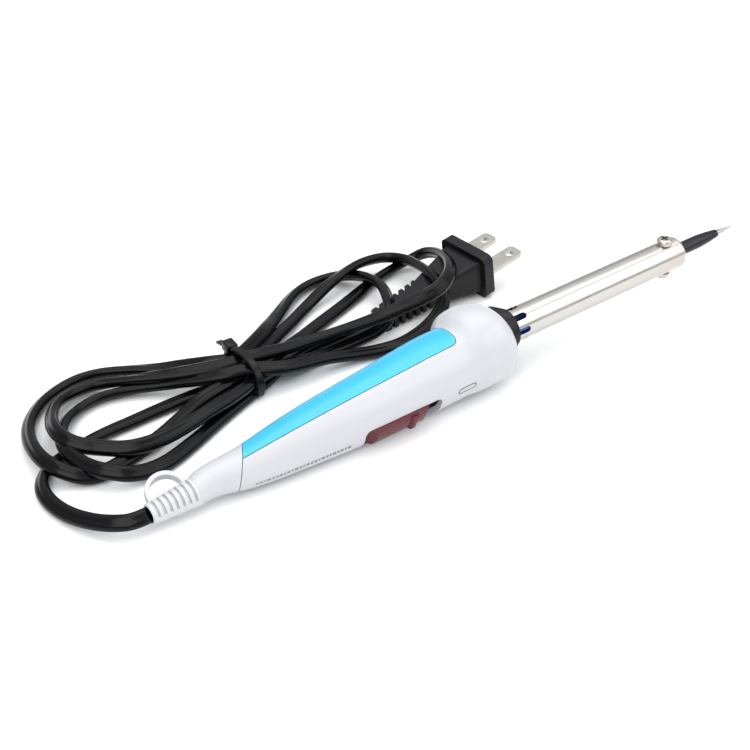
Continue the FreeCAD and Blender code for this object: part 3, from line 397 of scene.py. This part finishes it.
def lead_line():
    """Points along the route's own smooth spline."""
    curve = bpy.data.curves.new("lead_line", "CURVE")
    curve.dimensions = "3D"
    curve.resolution_u = ROUTE_RESOLUTION
    spline = curve.splines.new("NURBS")
    spline.points.add(len(ROUTE) - 1)
    for point, place in zip(spline.points, ROUTE):
        point.co = (*place, 1.0)
    spline.order_u = 3
    spline.use_endpoint_u = True
    holder = bpy.data.objects.new("lead_line", curve)
    bpy.context.scene.collection.objects.link(holder)
    bpy.context.view_layer.update()
    mesh = bpy.data.meshes.new_from_object(holder)
    points = [vertex.co.copy() for vertex in mesh.vertices]
    bpy.data.objects.remove(holder)
    return points


def even_points(points, step):
    """The same line with its points a fixed distance apart."""
    result = [points[0].copy()]
    spare = 0.0
    for start, end in zip(points, points[1:]):
        length = (end - start).length
        place = step - spare
        while place <= length:
            result.append(start.lerp(end, place / length))
            place += step
        spare = length - (place - step)
    result.append(points[-1].copy())
    return result


def lead_turns(points):
    """How far the flat lead stands up on its edge at each point."""
    bends = [0.0]
    for before, here, after in zip(points, points[1:], points[2:]):
        ahead = (after - here).xy
        behind = (here - before).xy
        bends.append(ahead.angle_signed(behind, 0.0) / LEAD_STEP)
    bends.append(0.0)
    window = 2 * SMOOTHING + 1
    for _ in range(SMOOTHING_PASSES):
        padded = [bends[0]] * SMOOTHING + bends + [bends[-1]] * SMOOTHING
        bends = [sum(padded[index:index + window]) / window for index in range(len(bends))]
    return [EDGE_TURN * math.tanh(bend / BEND_THAT_TURNS) for bend in bends]


def lead_section():
    """Outline of the flat twin lead: two round cores side by side with a groove between them."""
    reach = math.pi - math.acos(CORE_OFFSET * GROOVE_SHARE / CORE_RADIUS)
    outline = []
    for side in (1, -1):
        for index in range(CORE_SIDES + 1):
            angle = -reach + 2 * reach * index / CORE_SIDES
            outline.append((side * (CORE_OFFSET + CORE_RADIUS * math.cos(angle)),
                            side * CORE_RADIUS * math.sin(angle)))
    return outline


def lead_ring(here, ahead, turn, outline):
    """The outline's points round one place on the lead, let down to the floor where it lies there."""
    side = Vector((0, 0, 1)).cross(ahead).normalized()
    tip = Matrix.Rotation(turn, 3, ahead)
    wide = tip @ side
    high = tip @ ahead.cross(side)
    half_height = CORE_OFFSET * abs(wide.z) + CORE_RADIUS
    stacked = min(1.0, max(0.0, (here.z - STACK_START) / (STACK_FULL - STACK_START)))
    drop = (LEAD_WIDTH / 2 - half_height) * (1.0 - stacked)
    centre = here - Vector((0, 0, drop))
    return [centre + wide * x + high * y for x, y in outline]


def join_rings(build, ring, following):
    """A band of faces between two rings of the same number of vertices."""
    count = len(ring)
    for index in range(count):
        other = (index + 1) % count
        build.faces.new((ring[index], ring[other], following[other], following[index]))


def build_lead(points):
    """The flat lead as one closed mesh along the line."""
    mesh = bpy.data.meshes.new("lead")
    build = bmesh.new()
    outline = lead_section()
    turns = lead_turns(points)
    rings = []
    for index, here in enumerate(points):
        before = points[max(index - 1, 0)]
        after = points[min(index + 1, len(points) - 1)]
        ahead = (after - before).normalized()
        spots = lead_ring(here, ahead, turns[index], outline)
        rings.append([build.verts.new(spot) for spot in spots])
    for ring, following in zip(rings, rings[1:]):
        join_rings(build, ring, following)
    build.faces.new(list(reversed(rings[0])))
    build.faces.new(rings[-1])
    bmesh.ops.recalc_face_normals(build, faces=build.faces)
    build.to_mesh(mesh)
    build.free()
    return piece("lead", mesh, "black_cord")


# ---- tie ----

# the loop's points are y and z, from the head over the runs and back under them
TIE_X = -0.059
TIE_LOOP = [(0.0476, 0.0112), (0.0430, 0.0120), (0.0385, 0.0120), (0.0345, 0.0108), (0.0318, 0.0078),
            (0.0312, 0.0042), (0.0324, 0.0014), (0.0360, 0.0007), (0.0415, 0.0007), (0.0470, 0.0009),
            (0.0506, 0.0028), (0.0519, 0.0060), (0.0506, 0.0090)]
TIE_LOOP_PARTS = 6
TIE_WIDTH = 0.0026
TIE_THICKNESS = 0.0011
TIE_EDGE = 0.0003
TIE_HEAD = (TIE_X, 0.0500, 0.0105)
TIE_HEAD_SIZE = (0.0038, 0.0044, 0.0036)
TIE_HEAD_ROUNDING = 0.0005
TIE_STUB = (TIE_X, 0.0548, 0.0092)
TIE_STUB_SIZE = (0.0022, 0.0048, 0.0010)
TIE_STUB_ROUNDING = 0.0002
TIE_DROOP = math.radians(14)
TIE_SHARP_EDGE = math.radians(40)
FLOOR_GAP = 0.0001


def smooth_loop(points, parts):
    """Closed Catmull-Rom line through the points, with that many parts between two of them."""
    result = []
    count = len(points)
    for index in range(count):
        a, b, c, d = (Vector(points[(index + k) % count]) for k in (-1, 0, 1, 2))
        for part in range(parts):
            t = part / parts
            result.append(0.5 * ((2 * b) + (c - a) * t + (2 * a - 5 * b + 4 * c - d) * t * t
                                 + (3 * b - a - 3 * c + d) * t * t * t))
    return result


def add_block(build, centre, size, turn, rounding):
    """A box with rounded edges, tipped about X."""
    place = Matrix.Translation(centre) @ Matrix.Rotation(turn, 4, "X") @ Matrix.Diagonal((*size, 1.0))
    made = bmesh.ops.create_cube(build, size=1.0, matrix=place)
    edges = {edge for vertex in made["verts"] for edge in vertex.link_edges}
    bmesh.ops.bevel(build, geom=list(edges), offset=rounding, segments=3, affect="EDGES", profile=0.5)


def strap_section():
    """Outline of the strap: a flat bar with its corners taken off."""
    wide = TIE_WIDTH / 2
    thick = TIE_THICKNESS / 2
    return [(wide, thick - TIE_EDGE), (wide - TIE_EDGE, thick),
            (-wide + TIE_EDGE, thick), (-wide, thick - TIE_EDGE),
            (-wide, TIE_EDGE - thick), (-wide + TIE_EDGE, -thick),
            (wide - TIE_EDGE, -thick), (wide, TIE_EDGE - thick)]


def build_tie():
    """Nylon tie pulled tight round the folded lead, with its head and cut end at the back."""
    mesh = bpy.data.meshes.new("lead_tie")
    build = bmesh.new()
    loop = smooth_loop(TIE_LOOP, TIE_LOOP_PARTS)
    count = len(loop)
    outline = strap_section()
    rings = []
    for index, here in enumerate(loop):
        ahead = (loop[(index + 1) % count] - loop[index - 1]).normalized()
        out = Vector((ahead.y, -ahead.x))
        ring = []
        for across, up in outline:
            spot = here + out * up
            ring.append(build.verts.new((TIE_X + across, spot.x, max(spot.y, FLOOR_GAP))))
        rings.append(ring)
    for index, ring in enumerate(rings):
        join_rings(build, ring, rings[(index + 1) % count])
    add_block(build, Vector(TIE_HEAD), TIE_HEAD_SIZE, TIE_DROOP / 2, TIE_HEAD_ROUNDING)
    add_block(build, Vector(TIE_STUB), TIE_STUB_SIZE, -TIE_DROOP, TIE_STUB_ROUNDING)
    bmesh.ops.recalc_face_normals(build, faces=build.faces)
    build.to_mesh(mesh)
    build.free()
    tie = piece("lead_tie", mesh, "black_nylon")
    mesh.set_sharp_from_angle(angle=TIE_SHARP_EDGE)
    return tie


# ---- printed marks ----

# the bit's pull gives the iron's axis, and the upper screw a known station and angle on it
# a station is measured along the axis from the tail, an angle round it from the slider's side
JOINTS = {joint["name"]: joint for joint in frame["joints"]}
AXIS = Vector(JOINTS["bit_pull"]["axis"])
SCREW_DIRECTION = Vector(JOINTS["upper_screw_turn"]["axis"])
SCREW_PLACE = Vector(JOINTS["upper_screw_turn"]["pos_m"])
SCREW_STATION = 0.2035
SCREW_ANGLE = -115.0
SIDE = SCREW_DIRECTION.cross(AXIS)
PRINT_STANDOFF = 0.00004
BEYOND_HOUSING = 0.03

# the handle droops from the axis: station and droop at the rear joint and at the head
BODY_START = (0.0305, 0.0063)
BODY_END = (0.1089, 0.0028)


def from_axis(angle):
    """Direction away from the axis at that angle in degrees."""
    turn = math.radians(angle - SCREW_ANGLE)
    return SCREW_DIRECTION * math.cos(turn) - SIDE * math.sin(turn)


HOUSING = BVHTree.FromPolygons([vertex.co for vertex in NODES["handle_housing"].data.vertices],
                               [face.vertices for face in NODES["handle_housing"].data.polygons])


def on_housing(station, angle):
    """Point just off the housing's outside, at a station from the tail and an angle round its centre."""
    share = (station - BODY_START[0]) / (BODY_END[0] - BODY_START[0])
    drop = BODY_START[1] + (BODY_END[1] - BODY_START[1]) * min(share, 1.0)
    centre = SCREW_PLACE + AXIS * (station - SCREW_STATION) + from_axis(0) * drop
    away = from_axis(angle)
    found = HOUSING.ray_cast(centre + away * BEYOND_HOUSING, -away)[0]
    return found + away * PRINT_STANDOFF


# lengths are in metres along the handle, heights in degrees round it
TEXT_START = 0.0318
TEXT_END = 0.0640
TEXT_ANGLE = -5.0
TEXT_TALL = 7.0
TEXT_STROKES = (0.0007, 0.0010, 0.0005, 0.0012, 0.0008, 0.0006, 0.0011)
TEXT_GAP = 0.00045
OVAL_STATION = 0.1072
OVAL_ANGLE = -14.0
OVAL_REACH = 0.0036
OVAL_TALL = 5.5
OVAL_STROKE = 0.4
OVAL_PARTS = 40
OVAL_ROUND_SHARE = 0.35
OVAL_STRAIGHT_SHARE = 0.65
OVAL_STRAIGHTNESS = 3


def add_strokes(build):
    """A row of small strokes of uneven length where the rating is printed."""
    station = TEXT_START
    index = 0
    while station < TEXT_END:
        stroke = TEXT_STROKES[index % len(TEXT_STROKES)]
        end = station + stroke
        corners = ((station, -0.5), (end, -0.5), (end, 0.5), (station, 0.5))
        spots = [on_housing(x, TEXT_ANGLE + TEXT_TALL * up) for x, up in corners]
        build.faces.new([build.verts.new(spot) for spot in spots])
        station += stroke + TEXT_GAP
        index += 1


def oval_spot(turn, size):
    """Place on an oval of that size round the badge's centre: round ends and a straight middle."""
    across = math.cos(turn)
    straight = math.copysign(1.0, across) * min(1.0, abs(across) * OVAL_STRAIGHTNESS)
    reach = size * OVAL_ROUND_SHARE * across + OVAL_STRAIGHT_SHARE * straight
    return on_housing(OVAL_STATION + OVAL_REACH * reach, OVAL_ANGLE + OVAL_TALL * size * math.sin(turn))


def add_oval(build):
    """A plain oval ring beyond the slider."""
    turns = [2 * math.pi * part / OVAL_PARTS for part in range(OVAL_PARTS)]
    outer = [build.verts.new(oval_spot(turn, 1.0)) for turn in turns]
    inner = [build.verts.new(oval_spot(turn, 1.0 - OVAL_STROKE)) for turn in turns]
    join_rings(build, outer, inner)


def build_marks():
    """Everything printed on the handle, as one piece just off its surface."""
    mesh = bpy.data.meshes.new("printed_marks")
    build = bmesh.new()
    add_strokes(build)
    add_oval(build)
    build.to_mesh(mesh)
    build.free()
    return piece("printed_marks", mesh, "grey_print")


# ---- floor, light and camera ----

FLOOR_SIZE = 30.0
FLOOR_CLOUDS = 0.2
SKY_BY_HEIGHT = [
    (0.0, (0.55, 0.56, 0.57)), (0.30, (0.50, 0.505, 0.515)),
    (0.62, (0.95, 0.97, 0.99)), (1.0, (0.97, 0.98, 1.0)),
]

# name, place, side of the square in metres, watts
LIGHTS = [
    ("key", (-0.9, -0.7, 1.3), 1.3, 14.0),
    ("top", (0.3, 0.25, 1.7), 1.5, 14.0),
    ("fill", (0.9, -0.8, 0.8), 1.1, 6.0),
]

CAMERA_PLACE = Vector((-0.2545, -0.3059, 0.2756))
CAMERA_AHEAD = Vector((0.47786, 0.67258, -0.56506))
CAMERA_LENS = 72.0
CAMERA_SENSOR = 36.0
CAMERA_NEAREST = 0.01


def add_floor():
    """A wide pale floor."""
    mesh = bpy.data.meshes.new("floor")
    half = FLOOR_SIZE / 2
    corners = [(-half, -half, 0), (half, -half, 0), (half, half, 0), (-half, half, 0)]
    mesh.from_pydata(corners, [], [(0, 1, 2, 3)])
    floor = bpy.data.objects.new("floor", mesh)
    bpy.context.scene.collection.objects.link(floor)
    material, tree, principled = new_material("pale_floor", (0.92, 0.92, 0.92), 0.7)
    stops = [(0.3, (0.91, 0.91, 0.91)), (0.7, (0.93, 0.93, 0.93))]
    tree.links.new(ramp(tree, noise(tree, FLOOR_CLOUDS), stops), principled.inputs["Base Color"])
    mesh.materials.append(material)


def add_light(name, place, target, size, power):
    """A soft square light that faces the target."""
    data = bpy.data.lights.new(name, "AREA")
    data.shape = "SQUARE"
    data.size = size
    data.energy = power
    light = bpy.data.objects.new(name, data)
    bpy.context.scene.collection.objects.link(light)
    light.location = place
    light.rotation_euler = (Vector(target) - Vector(place)).to_track_quat("-Z", "Y").to_euler()


def add_sky():
    """Studio surroundings that are grey low down and bright overhead, for the metal to reflect."""
    world = bpy.data.worlds.new("studio")
    bpy.context.scene.world = world
    world.use_nodes = True
    tree = world.node_tree
    background = tree.nodes["Background"]
    coordinates = add_node(tree, "ShaderNodeTexCoord")
    separate = add_node(tree, "ShaderNodeSeparateXYZ")
    tree.links.new(coordinates.outputs["Generated"], separate.inputs["Vector"])
    height = spread(tree, separate.outputs["Z"], 0.0, 1.0, 0.0, 1.0)
    tree.links.new(ramp(tree, height, SKY_BY_HEIGHT), background.inputs["Color"])
    background.inputs["Strength"].default_value = 1.0


def add_lights():
    centre = (cad_box[0] + cad_box[1]) / 2
    for name, place, size, power in LIGHTS:
        add_light(name, place, centre, size, power)


def add_camera():
    """The camera, above the tail end on the slider's side, with a long lens."""
    data = bpy.data.cameras.new("camera")
    data.lens = CAMERA_LENS
    data.sensor_width = CAMERA_SENSOR
    data.clip_start = CAMERA_NEAREST
    camera = bpy.data.objects.new("camera", data)
    bpy.context.scene.collection.objects.link(camera)
    camera.location = CAMERA_PLACE
    camera.rotation_euler = CAMERA_AHEAD.to_track_quat("-Z", "Y").to_euler()
    bpy.context.scene.camera = camera
    bpy.context.scene.view_settings.view_transform = "Standard"


# ---- the scene ----

dress_cad_nodes()
line = even_points(lead_line(), LEAD_STEP)
lead = build_lead(line)
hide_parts("cord_tail", "cord_hank")
tie = build_tie()
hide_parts("cable_tie")
build_marks()
add_floor()
add_sky()
add_lights()
add_camera()
